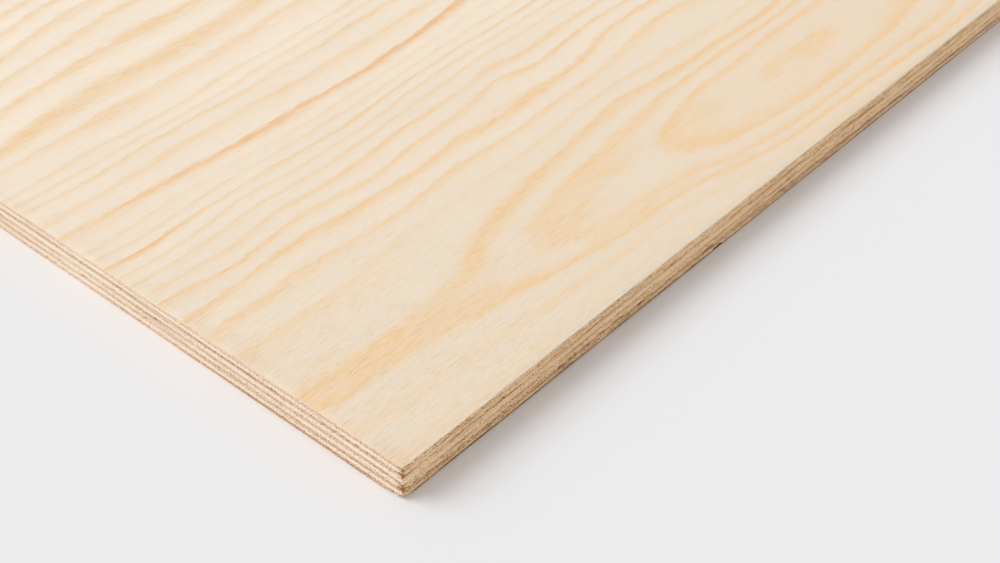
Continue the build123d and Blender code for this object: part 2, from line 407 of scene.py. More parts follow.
# Painted highlights along the long edges, where the tops of the plies would catch the light: height, how far
# that reaches, how much paler. They fade out between these distances from the near corner.
LEDGE_HIGHLIGHTS = [(5.98, 0.35, 1.4), (3.55, 0.3, 0.9), (8.85, 0.3, 0.8)]
LEDGE_HIGHLIGHTS_UNTIL = (100, 150)

# Heights at which the saw tore the wood most, how far that reaches and how strong it is
TORN_ENDS = [(9.0, 0.3, 1.0), (6.1, 0.35, 0.4), (3.6, 0.35, 0.5), (1.1, 0.5, 0.5)]
TORN_EDGES = [(11.3, 0.3, 1.0), (9.1, 0.3, 0.4), (5.9, 0.35, 0.5), (3.2, 0.5, 1.0), (2.0, 0.6, 0.4)]


def read(parts, name, size=3, kind=float):
    """One property of all the vertices, edges, faces or face corners of a mesh."""
    values = np.empty(len(parts) * size, kind)
    parts.foreach_get(name, values)
    return values.reshape(-1, size) if size > 1 else values


def points(mesh):
    """The places of the mesh's vertices."""
    return read(mesh.vertices, "co")


def edge_ends():
    """The two ends of every edge of the active piece."""
    mesh = bpy.context.object.data
    ends = points(mesh)[read(mesh.edges, "vertices", 2, int)]
    return ends[:, 0], ends[:, 1]


def face_places():
    """The middle and the outward direction of every face of the active piece."""
    faces = bpy.context.object.data.polygons
    return read(faces, "center"), read(faces, "normal")


def meets(values, value):
    return np.abs(values - value) < HAIR


def at_level(level):
    """The edges of the active piece that lie at this height."""
    first, second = edge_ends()
    return meets(first[:, 2], level) & meets(second[:, 2], level)


def work(parts, chosen, operator, **settings):
    """Uses an operator on only the chosen edges or faces of the active piece."""
    mesh = bpy.context.object.data
    for kind in (mesh.vertices, mesh.edges, mesh.polygons):
        kind.foreach_set("select", np.zeros(len(kind), bool))
    getattr(mesh, parts).foreach_set("select", np.asarray(chosen, bool))
    bpy.ops.object.mode_set(mode="EDIT")
    bpy.ops.mesh.select_mode(type="EDGE" if parts == "edges" else "FACE")
    operator(**settings)
    bpy.ops.object.mode_set(mode="OBJECT")


def work_on_all(operator, **settings):
    """Uses an operator on the whole of the active piece."""
    bpy.ops.object.mode_set(mode="EDIT")
    bpy.ops.mesh.select_all(action="SELECT")
    operator(**settings)
    bpy.ops.object.mode_set(mode="OBJECT")


def blank(node):
    """A plain box in the place of a CAD node, ready to be worked on."""
    low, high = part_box(node)
    bpy.ops.object.select_all(action="DESELECT")
    bpy.ops.mesh.primitive_cube_add(size=1, location=(low + high) / 2, scale=high - low)
    bpy.ops.object.transform_apply(location=True, rotation=True, scale=True)
    piece = bpy.context.object
    piece.name = node + "_wood"
    piece.data.name = piece.name
    return piece, low, high


def divide(test, pitch, length):
    """Divides the edges that pass the test, a stretch of this length, into pieces of about this pitch."""
    pieces = max(1, round(length / pitch))
    first = max(1, round(math.sqrt(pieces)))
    for count in (first, max(1, round(pieces / first))):
        if count > 1:
            work("edges", test(*edge_ends()), bpy.ops.mesh.subdivide, number_cuts=count - 1)


def runs_along(axis, low_limit, high_limit, level=None):
    """A test for edges along an axis, between two limits on it, and at one height if it is given."""
    def test(first, second):
        apart = np.abs(second - first)
        straight = (apart[:, axis] > 0.01 * MM) & (np.delete(apart, axis, 1).max(1) < 0.002 * MM)
        middle = (first + second)[:, axis] / 2
        found = straight & (middle > low_limit) & (middle < high_limit)
        return found if level is None else found & meets(first[:, 2], level)
    return test


def divide_stretches(near, low, high, test, pitches, margin, rim, inside, level=None):
    """Divides the near and the far stretch along both axes, inside the rim or outside it.

    The faces that pass the test are first cut where the near stretches end. The stretches stop
    short of the piece's sides by the margin, and each has its own pitch.
    """
    for axis in (0, 1):
        place = Vector()
        place[axis] = near[axis]
        direction = Vector()
        direction[axis] = 1
        work("polygons", test(face_places()[1]), bpy.ops.mesh.bisect, plane_co=place, plane_no=direction)
    if not inside:
        divide(runs_along(2, -1, 1), (high.z - low.z) / ROWS, high.z - low.z)
    for axis in (0, 1):
        other = 1 - axis
        stops = (low[axis] + margin, near[axis], high[axis] - margin)
        for start, end, pitch in zip(stops, stops[1:], pitches):
            along = runs_along(axis, start, end, level)

            def chosen(first, second, along=along, other=other):
                within = first[:, other] > low[other] + rim - HAIR
                within &= first[:, other] < high[other] - rim + HAIR
                return along(first, second) & (within == inside)

            divide(chosen, pitch, end - start)


def divide_sides(sizes, low, high):
    """Divides the sawn sides into rows, and into columns that are finest near the corner."""
    near = (low.x + sizes.near_length, low.y + sizes.near_width)
    divide_stretches(near, low, high, lambda normals: np.abs(normals[:, 2]) < UPRIGHT,
                     FINE_SIDES, 0, sizes.rim + sizes.arris, False)


def divide_face(sizes, low, high, outward, level):
    """Divides the broad face of the active piece as a grid that is finest where the camera sees it."""
    near = (low.x + sizes.near_length, low.y + sizes.near_width)
    inset = sizes.rim + sizes.arris
    divide_stretches(near, low, high, lambda normals: normals[:, 2] * outward > UPRIGHT,
                     FINE_FACES, inset, inset, True, level)


def close_at(level):
    """Closes the active piece with one hidden face at this height."""
    work("edges", at_level(level), bpy.ops.mesh.edge_face_add)


def face_outwards():
    work_on_all(bpy.ops.mesh.normals_make_consistent, inside=False)


def inner_ply(sizes, node):
    """A ply between two others: only its sawn sides show."""
    piece, low, high = blank(node)
    work("polygons", np.abs(face_places()[1][:, 2]) > UPRIGHT, bpy.ops.mesh.delete, type="ONLY_FACE")
    divide_sides(sizes, low, high)
    close_at(low.z)
    close_at(high.z)
    face_outwards()
    return piece, low, high


def outer_ply(sizes, node, outward):
    """The face or back veneer: sawn sides, a sanded arris and a broad face that is divided as a grid."""
    piece, low, high = blank(node)
    broad, hidden = (high.z, low.z) if outward > 0 else (low.z, high.z)
    work("edges", at_level(broad), bpy.ops.mesh.bevel, offset=sizes.arris, segments=2, affect="EDGES")
    work("polygons", face_places()[1][:, 2] * outward > UPRIGHT, bpy.ops.mesh.inset, thickness=sizes.rim)
    middles, normals = face_places()
    upright = normals[:, 2] * outward
    central = (np.abs(middles[:, 0]) < 0.3 * LENGTH) & (np.abs(middles[:, 1]) < 0.3 * WIDTH)
    work("polygons", ((upright > UPRIGHT) & ~central) | (upright < -UPRIGHT), bpy.ops.mesh.delete,
         type="ONLY_FACE")
    divide_face(sizes, low, high, outward, broad)
    divide_sides(sizes, low, high)
    for axis in (0, 1):
        for side, sign in ((low[axis], -1), (high[axis], 1)):
            join_rim(axis, broad, side - sign * sizes.arris, sign * sizes.rim)
    close_at(hidden)
    corners = read(piece.data.polygons, "loop_total", 1, int)
    work("polygons", (corners > 4) & meets(face_places()[0][:, 2], broad), triangulate)
    face_outwards()
    return piece, low, high


def join_rim(axis, level, outer, rim):
    """Fills the strip between the arris and the broad face on one side of the active piece."""
    chosen = at_level(level)
    for end in edge_ends():
        chosen &= meets(end[:, axis], outer) | meets(end[:, axis], outer - rim)
    work("edges", chosen, bpy.ops.mesh.edge_face_add)


def triangulate():
    bpy.ops.mesh.quads_convert_to_tris(quad_method="BEAUTY", ngon_method="BEAUTY")
    bpy.ops.mesh.beautify_fill(angle_limit=math.pi)


def knock_corner():
    """Cuts the corner off the active piece along one slanted plane."""
    slope = Vector([1 / length for length in KNOCKED])
    place = CORNER + Vector((KNOCKED[0] * MM, 0, 0))
    work_on_all(bpy.ops.mesh.bisect, plane_co=place, plane_no=-slope, use_fill=True, clear_outer=True,
                threshold=0.001 * MM)


def smooth_noise(places, size, seed):
    """Soft random hills from -1 to 1 over flat places, each about as large as the size given."""
    table = np.random.default_rng(seed).uniform(-1, 1, (256, 256))
    at = places / np.array(size)
    cell = np.floor(at).astype(int)
    share = at - cell
    share = share * share * (3 - 2 * share)
    total = 0
    for step in ((0, 0), (1, 0), (0, 1), (1, 1)):
        weight = np.prod(np.where(step, share, 1 - share), axis=1)
        total = total + weight * table[tuple((cell + step).T % 256)]
    return total


def bend_through(heights):
    """The smoothest surface through heights at scattered places, as a function of place."""
    heights = np.array(heights, float)
    scale = np.array([ALONG_GRAIN, 1]) / 100
    knots = heights[:, :2] * scale

    def pull(places):
        apart = np.linalg.norm(places[:, None] - knots[None], axis=2)
        return apart ** 2 * np.log(np.maximum(apart, 1e-9))

    count = len(knots)
    plane = np.c_[np.ones(count), knots]
    system = np.block([[pull(knots) + 1e-5 * np.eye(count), plane], [plane.T, np.zeros((3, 3))]])
    weights = np.linalg.solve(system, np.r_[heights[:, 2], 0, 0, 0])

    def surface(places):
        found = []
        for start in range(0, len(places), 4000):
            part = places[start:start + 4000] * scale
            found.append(pull(part) @ weights[:count] + weights[count] + part @ weights[count + 1:])
        return np.concatenate(found)

    return surface


def from_corner(places):
    """Places along and across the sheet, in millimetres from the near corner."""
    return (places[:, :2] - np.array(CORNER)[:2]) / MM


def reach(spots, along, across, half_length, half_width):
    """How far spots are from a place, squared, where 1 is the rim of its oval."""
    return ((spots[:, 0] - along) / half_length) ** 2 + ((spots[:, 1] - across) / half_width) ** 2


def patch(spots, places, power=1):
    """How much of the strongest of these places reaches each spot; a higher power has sharper rims."""
    most = np.zeros(len(spots))
    for *place, share in places:
        most = np.maximum(most, share * np.exp(-reach(spots, *place) ** power))
    return most


def store(piece, name, values):
    attribute = piece.data.attributes.new(name, "FLOAT", "POINT")
    attribute.data.foreach_set("value", np.asarray(values, np.float32))


def add_figure(piece, heights, waviness):
    """Stores each vertex's place in the growth rings, and how its line looks."""
    spots = from_corner(points(piece.data))
    free = waviness(spots)
    drawn = free < 0.5
    rings = bend_through(heights)(spots)
    for share, size, seed in WAVES:
        rings += free * share * smooth_noise(spots, size, seed)
    number = np.floor(rings - 0.3).astype(int) + 1
    chance = np.random.default_rng(11).uniform(0.35, 1.0, 64)
    strength = np.array([LINE_STRENGTH.get(int(n), USUAL_STRENGTH) for n in number])
    strength = np.where(free > 0.5, chance[number % 64], strength)
    for *place, left in FADED_PLACES:
        strength *= 1 - (1 - left) * np.exp(-reach(spots, *place)) * drawn
    resin = (number == RESIN_LINE) * np.interp(spots[:, 0], RESIN_START, (0, 1))
    store(piece, "ring", rings)
    store(piece, "line_strength", strength)
    store(piece, "patchy", patch(spots, PATCHY_PLACES, 2) * drawn)
    store(piece, "filled", patch(spots, FILLED_PLACES, 2) * drawn)
    store(piece, "breadth", [BROAD_LINES.get(int(n), 0) for n in number] * drawn)
    store(piece, "resin", np.maximum(resin, patch(spots, RESIN_PLACES)) * drawn)


def drawn_heights():
    """The growth lines' points as heights, with the heights that join them."""
    found = [(x, y, number - 1 + LATE_WOOD) for number, line in FACE_LINES.items() for x, y in line]
    return found + FACE_HEIGHTS


def beyond_photo(spots):
    """0 where the growth lines are drawn, and 1 well beyond them."""
    past = np.maximum(spots[:, 0] - DRAWN_ALONG, 0) + np.maximum(spots[:, 1] - DRAWN_ACROSS, 0)
    past = np.maximum(past, spots[:, 0] + 1.05 * spots[:, 1] - DRAWN_SLANTING)
    return np.clip(past / 60, 0, 1)


def everywhere(spots):
    return np.ones(len(spots))


def sides_of(places, low, high):
    """For each of the four sawn sides: its name, its vertices, and places along it in millimetres."""
    spots = from_corner(places)
    touching = 0.02 * MM
    return {
        "near_end": (places[:, 0] < low.x + touching, spots[:, 1]),
        "far_end": (places[:, 0] > high.x - touching, spots[:, 1]),
        "near_edge": (places[:, 1] < low.y + touching, spots[:, 0]),
        "far_edge": (places[:, 1] > high.y - touching, spots[:, 0]),
    }


def lines_at(lines, height):
    """How strong the strongest of these lines along a side is at a height."""
    found = [strength * np.exp(-((height - level) / spread) ** 2) for level, spread, strength in lines]
    return np.max(found, 0)


def along_course(course, along):
    """The value at places along a side, of a course given as places and values."""
    return np.interp(along, *zip(*course))


def age(piece, tones, low, high):
    """Stores how dark each vertex's ply is, with a painted contact shadow at the foot of the sides and
    painted highlights along the near long edge, how torn the wood is there, and how worn near an arris.
    """
    places = points(piece.data)
    sides = sides_of(places, low, high)
    on_edge = sides["near_edge"][0] | sides["far_edge"][0]
    height = places[:, 2] / MM
    spots = from_corner(places)
    on_ends, fading, on_edges = tones
    # Painted contact shadow: the sides darken towards their foot, where they meet the floor, strongly on the
    # long edges and only a little on the ends
    contact_shade = np.clip((0.55 - height) / np.where(on_edge, 0.3, 0.55), 0, 1)
    faded = fading * np.interp(spots[:, 1], FADING, (0, 1))
    # Painted highlights: thin paler lines along the near long edge, at the tops of the plies, where their
    # rims would catch the light
    painted_highlight = lines_at(LEDGE_HIGHLIGHTS, height - along_course(RISING_EDGES, spots[:, 0]))
    painted_highlight *= np.interp(spots[:, 0], LEDGE_HIGHLIGHTS_UNTIL, (1, 0)) * sides["near_edge"][0]
    store(piece, "tone", np.where(on_edge, on_edges + 4.5 * contact_shade - painted_highlight, on_ends + 0.4 * contact_shade - faded))
    store(piece, "torn", np.where(on_edge, lines_at(TORN_EDGES, height), lines_at(TORN_ENDS, height)))
    inset = np.minimum(spots, np.array([LENGTH, WIDTH]) / MM - spots)
    corner = np.exp(-inset.max(1) / 1.6)
    top = np.where(on_edge, 0.15, 0.05) * np.exp(-np.maximum(FAR_CORNER.z / MM - height, 0) / 0.4)
    store(piece, "wear", np.maximum(corner, top))


def torn_strips(along, height):
    """The strip and the flake that the long arris of the back has lost, thinning out at both ends."""
    lost = np.zeros(len(along))
    for start, length, depth, rise in TORN_STRIPS:
        share = np.clip((along - start) / length, 0, 1)
        lost = np.maximum(lost, along_course(STRIP_SHAPE, share) * depth - height * depth / rise)
    return lost


def scattered_pits(seed, count, length, kinds):
    """More pits for the sides that the camera doesn't see, at random places."""
    chance = np.random.default_rng(seed)
    pits = []
    for _ in range(count):
        low, high = kinds[chance.integers(len(kinds))]
        pits.append((chance.uniform(0, length), chance.uniform(low, high), chance.uniform(0.5, 3.5),
                     chance.uniform(0.12, 0.35), chance.uniform(0.2, 0.7)))
    return pits


def make_guides():
    """The relief's textures, and empties that stretch them along and across the fibres."""
    for kind, (detail, sizes) in RELIEF.items():
        if kind not in bpy.data.textures:
            texture = bpy.data.textures.new(kind, "CLOUDS")
            texture.noise_scale = 1.0
            texture.noise_depth = detail
            texture.contrast = 1.6
        for axis, size in sizes.items():
            guide = bpy.data.objects.new(f"{kind}_{axis}", None)
            guide.scale = [value * MM for value in size]
            bpy.context.scene.collection.objects.link(guide)
    bpy.context.view_layer.update()


def clear_guides():
    for kind, (_, sizes) in RELIEF.items():
        for axis in sizes:
            bpy.data.objects.remove(bpy.data.objects[f"{kind}_{axis}"])


def displace(piece, group, axis, strength, middle, kind=None):
    """Moves a group of vertices along an axis, evenly or by the texture of one kind of wood."""
    modifier = piece.modifiers.new(group, "DISPLACE")
    modifier.direction = axis
    modifier.vertex_group = group
    modifier.strength = strength
    modifier.mid_level = middle
    if kind:
        modifier.texture = bpy.data.textures[kind]
        modifier.texture_coords = "OBJECT"
        modifier.texture_coords_object = bpy.data.objects[f"{kind}_{axis}"]
    bpy.ops.object.modifier_apply(modifier=modifier.name)


def relief(piece, low, high, sizes, end_kind, edge_kind, seed):
    """Tears and wears the sawn sides of a ply inwards."""
    places = points(piece.data)
    height = places[:, 2] / MM
    sides = sides_of(places, low, high)
    near_rim = np.minimum(places[:, 2] - low.z, high.z - places[:, 2]) < 0.05 * MM
    far_end = scattered_pits(seed + 1, 60, WIDTH / MM, [(8, 9.2), (2.8, 4.0), (0.2, 1.3)])
    far_edge = scattered_pits(seed + 2, 120, LENGTH / MM, [(10.8, 11.7), (2.4, 4)])
    total = np.zeros(len(places))
    for side, pits, kind, axis, inward in (
            ("near_end", END_PITS, end_kind, "X", 1), ("far_end", far_end, end_kind, "X", -1),
            ("near_edge", LONG_EDGE_PITS, edge_kind, "Y", 1), ("far_edge", far_edge, edge_kind, "Y", -1)):
        chosen, along = sides[side]
        lost = patch(np.c_[along, height], pits)
        if side == "near_edge" and low.z < MM:
            lost = np.maximum(lost, torn_strips(along, height))
        total = np.where(chosen, np.maximum(total, lost), total)
        depth = sizes.fuzz if kind == "end_grain" else sizes.furrow
        ledge = sizes.ledge if kind == "end_grain" else 0
        weights = np.clip((ledge + lost * MM + np.where(near_rim, 0.03 * MM, 0)) / sizes.deepest, 0, 1)
        index = [int(i) for i in np.flatnonzero(chosen)]
        whole = piece.vertex_groups.new(name=side)
        whole.add(index, 1.0, "REPLACE")
        worn = piece.vertex_groups.new(name=side + "_worn")
        for i in index:
            worn.add([i], float(weights[i]), "REPLACE")
        displace(piece, side, axis, inward * depth, LOWEST_CLOUD, kind)
        displace(piece, side + "_worn", axis, inward * sizes.deepest, 0.0)
    store(piece, "lost", total)
    rise = np.zeros(len(places))
    for side, course in (("near_end", RISING_ENDS), ("near_edge", RISING_EDGES)):
        chosen, along = sides[side]
        rise = np.where(chosen, along_course(course, along) * MM, rise)
    store(piece, "level", (places[:, 2] - rise - low.z) / (high.z - low.z))


def lay_out_map(piece, low, high, broad):
    """A map of the piece's own surface: its broad face above, its sawn sides in rows below."""
    mesh = piece.data
    face_of_corner = np.repeat(np.arange(len(mesh.polygons)), read(mesh.polygons, "loop_total", 1, int))
    place = points(mesh)[read(mesh.loops, "vertex_index", 1, int)]
    middle, normal = (values[face_of_corner] for values in face_places())
    top_of_sides = 0.13 if broad else 0.96
    row_height = (top_of_sides - 0.01) / MAP_ROWS
    u = np.zeros(len(place))
    v = np.zeros(len(place))
    level = (place[:, 2] - low.z) / (high.z - low.z)
    first_row = 0
    up = np.abs(normal[:, 2]) > 0.5
    for axis, sign in ((0, -1), (0, 1), (1, -1), (1, 1)):
        along = 1 - axis
        chosen = ~up & (np.abs(normal[:, axis]) > 0.6) & (normal[:, axis] * sign > 0)
        row = np.floor((middle[:, along] - low[along]) / MAP_STRETCH)
        start = low[along] + row * MAP_STRETCH
        u = np.where(chosen, 0.005 + 0.99 * (place[:, along] - start) / MAP_STRETCH, u)
        v = np.where(chosen, (first_row + row + 0.1 + 0.8 * level) * row_height, v)
        first_row += round((high[along] - low[along]) / MAP_STRETCH)
    share = (place[:, :2] - np.array(low)[:2]) / (np.array(high)[:2] - np.array(low)[:2])
    shown = up & (normal[:, 2] * broad > 0)
    u = np.where(shown, 0.001 + 0.998 * share[:, 0], u)
    v = np.where(shown, top_of_sides + (0.998 - top_of_sides) * share[:, 1], v)
    cap_height = 0.004 if broad else 0.03
    for number, direction in enumerate((1, -1)):
        caps = up & ~shown & (normal[:, 2] * direction > 0)
        u = np.where(caps, 0.01 + number * 0.3 + 0.25 * share[:, 0], u)
        v = np.where(caps, top_of_sides - 0.006 + cap_height * share[:, 1], v)
    layer = mesh.uv_layers.new(name="OFBake")
    layer.data.foreach_set("uv", np.c_[u, v].ravel().clip(0, 1))


class Finish:
    """A material's nodes, added and joined one after another."""

    def __init__(self, name):
        self.material = bpy.data.materials.new(name)
        self.material.use_nodes = True
        self.tree = self.material.node_tree
        self.tree.nodes.clear()
        self.place = self.node("TexCoord").outputs["Object"]

    def node(self, kind, inputs=(), **settings):
        made = self.tree.nodes.new("ShaderNode" + kind)
        for name, value in settings.items():
            setattr(made, name, value)
        for socket, value in dict(inputs).items():
            if isinstance(value, bpy.types.NodeSocket):
                self.tree.links.new(value, made.inputs[socket])
            else:
                made.inputs[socket].default_value = value
        return made

    def math(self, operation, *values, clamp=False):
        made = self.node("Math", dict(enumerate(values)), operation=operation, use_clamp=clamp)
        return made.outputs[0]

    def plus(self, total, *values):
        for value in values:
            total = self.math("ADD", total, value)
        return total

    def times(self, product, *values):
        for value in values:
            product = self.math("MULTIPLY", product, value)
        return product

    def attribute(self, name):
        return self.node("Attribute", attribute_name=name).outputs["Fac"]

    def coordinate(self, axis):
        return self.node("SeparateXYZ", {"Vector": self.place}).outputs[axis]

    def inset(self, axis, size):
        """How far in the surface is from the sheet's sides that face along an axis."""
        return self.math("SUBTRACT", size / 2, self.math("ABSOLUTE", self.coordinate(axis)))

    def noise(self, size, detail=2.0, roughness=0.5, offset=(0, 0, 0)):
        """A noise with features of this size in millimetres."""
        scale = tuple(1 / (value * MM) for value in size)
        mapping = self.node("Mapping", {"Vector": self.place, "Scale": scale, "Location": offset})
        made = self.node("TexNoise", {"Vector": mapping.outputs["Vector"], "Scale": 1.0, "Detail": detail,
                                      "Roughness": roughness, "Distortion": 0.0})
        return made.outputs["Fac"]

    def mix(self, share, first, second, blend="MIX"):
        made = self.node("Mix", {0: share, 6: self.colour(first), 7: self.colour(second)},
                         data_type="RGBA", blend_type=blend)
        return made.outputs[2]

    def colour(self, value):
        if isinstance(value, bpy.types.NodeSocket):
            return value
        return (*tuple(value)[:3], 1.0)

    def curve(self, share, stops):
        """A value that goes through these stops, each a place and a grey."""
        made = self.node("ValToRGB", {"Fac": share})
        ramp = made.color_ramp
        ramp.elements[0].position = stops[0][0]
        ramp.elements[1].position = stops[-1][0]
        for position, _ in stops[1:-1]:
            ramp.elements.new(position)
        for element, (_, grey) in zip(ramp.elements, stops):
            element.color = (grey, grey, grey, 1)
        return made.outputs["Color"]

    def between(self, value, low, high, to_low=0.0, to_high=1.0):
        made = self.node("MapRange", {"Value": value, "From Min": low, "From Max": high,
                                      "To Min": to_low, "To Max": to_high})
        return made.outputs["Result"]

    def spread(self, noise, amount):
        """A noise centred on nothing, and spread this far either way."""
        return self.between(noise, 0.3, 0.7, -amount / 2, amount / 2)

    def grained(self, colour, noise, dark, light, strength):
        """Browns a colour by these shares where a noise is low, and pales it where it is high."""
        dark = self.times(self.between(noise, 0.27, 0.5, dark, 0), strength)
        light = self.times(self.between(noise, 0.5, 0.76, 0, light), strength)
        return self.mix(light, self.mix(dark, colour, GRAIN_BROWN), GRAIN_PALE)

    def level_on(self, along, profile, low, high):
        """The height within a ply, which wanders a little along the side, put through a curve."""
        wander = self.spread(self.noise(grain_size(along, 34, 60), 2.0, 0.5, (2, 2, 2)), 0.08)
        height = self.plus(self.attribute("level"), wander)
        return self.between(self.curve(height, profile), 0, 1, low, high)

    def surface(self, colour, roughness, height, depth):
        """The shader itself, with bumps of this depth in millimetres."""
        bump = self.node("Bump", {"Height": height, "Distance": depth * MM, "Strength": 1.0})
        shader = self.node("BsdfPrincipled", {"Base Color": colour, "Roughness": roughness,
                                              "Normal": bump.outputs["Normal"], "Specular IOR Level": 0.28})
        output = self.node("OutputMaterial")
        self.tree.links.new(shader.outputs[0], output.inputs["Surface"])


def sanded_face(name, pale_side):
    """Sanded pine with growth lines: late wood darkens slowly through a ring and ends sharply."""
    finish = Finish(name)
    colours = bpy.context.scene.plywood_colours
    wander = finish.noise((26, 5, 50), 3.0, 0.55)
    fray = finish.noise((4, 0.5, 50), 3.0, 0.7, (3, 1, 0))
    ring = finish.plus(finish.attribute("ring"), finish.between(wander, 0.2, 0.8, -0.13, 0.13),
                       finish.between(fray, 0.2, 0.8, -0.16, 0.16))
    share = finish.math("FRACT", ring)
    sharp = finish.curve(share, SHARP_LINE)
    softer = finish.math("SUBTRACT", finish.curve(share, SOFT_LINE), sharp)
    late = finish.math("MULTIPLY_ADD", softer, finish.attribute("breadth"), sharp)
    hatch = finish.noise((7, 0.4, 50), 3.0, 0.65, (0, 7, 0))
    blotch = finish.noise((48, 11, 80), 3.0, 0.6, (5, 2, 0))
    late = finish.times(late, finish.attribute("line_strength"))
    late = finish.math("MAXIMUM", late, finish.attribute("filled"))
    patches = finish.between(finish.noise((13, 2.2, 50), 4.0, 0.7, (6, 6, 0)), 0.44, 0.58, 0.5, 0)
    whole = finish.math("SUBTRACT", 1.0, finish.times(patches, finish.attribute("patchy")))
    late = finish.times(late, finish.between(hatch, 0.3, 0.7, 0.3, 1.5), whole,
                        finish.between(blotch, 0.3, 0.7, 0.65, 1.25))
    late = finish.math("MULTIPLY", late, 0.95, clamp=True)
    base = finish.mix(finish.between(pale_side(finish), 0, 1), colours.face_warm, colours.face_pale)
    warm_patch = finish.noise((90, 26, 80), 3.0, 0.55, (9, 4, 0))
    base = finish.mix(finish.between(warm_patch, 0.35, 0.75, 0, 0.45), base, colours.face_warm)
    coarse = coarse_corner(finish)
    grit = finish.noise((1.6, 0.7, 50), 3.0, 0.7, (2, 9, 0))
    base = finish.grained(base, hatch, 0.2, 0.3, coarse)
    base = finish.grained(base, grit, 0.18, 0.28, coarse)
    line = finish.mix(finish.attribute("resin"), colours.face_line, colours.face_red)
    colour = finish.mix(late, base, line)
    fibres = finish.noise((7, 0.34, 50), 2.0, 0.8, (4, 17, 0))
    colour = finish.grained(colour, fibres, 0.62, 0.24, coarse)
    handled = handled_ends(finish)
    canals = finish.noise((5, 0.3, 50), 2.0, 0.5, (0, 21, 0))
    canals = finish.math("MULTIPLY_ADD", handled, 0.07, canals)
    canals = finish.math("MULTIPLY_ADD", late, 0.07, canals)
    canals = finish.times(finish.between(canals, 0.64, 0.74, 0, 0.55), coarse)
    colour = finish.mix(canals, colour, RESIN_CANAL)
    colour = finish.mix(finish.times(handled, 0.3), colour, HANDLED)
    colour = finish.mix(finish.times(frayed_and_highlit_rims(finish), 0.8), colour, FRAYED_AND_HIGHLIT)
    finish.surface(colour, finish.between(late, 0, 1, 0.66, 0.52), hatch, FACE_BUMP)


def coarse_corner(finish):
    """How coarse the sanding is: most of all at the near corner, and finer away from it."""
    away = finish.node("VectorMath", {0: finish.place, 1: CORNER}, operation="DISTANCE").outputs["Value"]
    return finish.between(away, 45 * MM, 125 * MM, 0.9, 0.4)


def handled_ends(finish):
    """Where sawing and handling browned the fibre ends: a few millimetres in from both ends."""
    near = finish.between(finish.inset("X", LENGTH), 0.0, 10 * MM, 1, 0)
    patchy = finish.between(finish.noise((9, 8, 50), 4.0, 0.65, (8, 3, 0)), 0.42, 0.68, 0, 1)
    return finish.times(finish.math("POWER", near, 1.6), patchy)


def frayed_and_highlit_rims(finish):
    """Where pale shreds of fibre stand on the rims of the long edges, with a painted highlight along the
    arris strongest near the corner: thin strokes along the grain.
    """
    near = finish.between(finish.inset("Y", WIDTH), 0.2 * MM, 1.9 * MM, 1, 0)
    strokes = finish.noise((6, 0.35, 50), 2.0, 0.7, (1, 8, 4))
    worst = finish.between(finish.coordinate("X"), CORNER.x + 20 * MM, CORNER.x + 40 * MM, 1, 0.45)
    return finish.times(near, worst, finish.between(strokes, 0.46, 0.62, 0, 1))


def pale_across_face(finish):
    """Paler away from the near long edge, as the face is."""
    return finish.between(finish.coordinate("Y"), CORNER.y, CORNER.y + 200 * MM, 0.05, 1)


def pale_across_back(finish):
    return finish.noise((300, 90, 100), 2.0, 0.5)


def grain_size(along, length, height):
    """The size of a feature on a sawn side that runs along an axis."""
    return (length, 40, height) if along == "X" else (40, length, height)


def side_grain(finish, along, level):
    """Wood sawn along its fibres: long thin straight streaks."""
    streaks = finish.noise(grain_size(along, 60.0, 0.24), 2.0, 0.8)
    return finish.plus(finish.spread(streaks, SIDE_LOOKS[along]["streaks"]), level), streaks


def end_grain(finish, along, level):
    """Wood sawn across its fibres: fine-grained, with dark pores."""
    grain = finish.noise(grain_size(along, 0.4, 0.3), 1.0, 0.7)
    bands = finish.noise(grain_size(along, 60.0, 0.33), 2.0, 0.7, (4, 4, 1))
    looks = SIDE_LOOKS[along]
    share = finish.plus(finish.spread(grain, looks["grain"]), level, finish.spread(bands, looks["bands"]))
    return share, grain


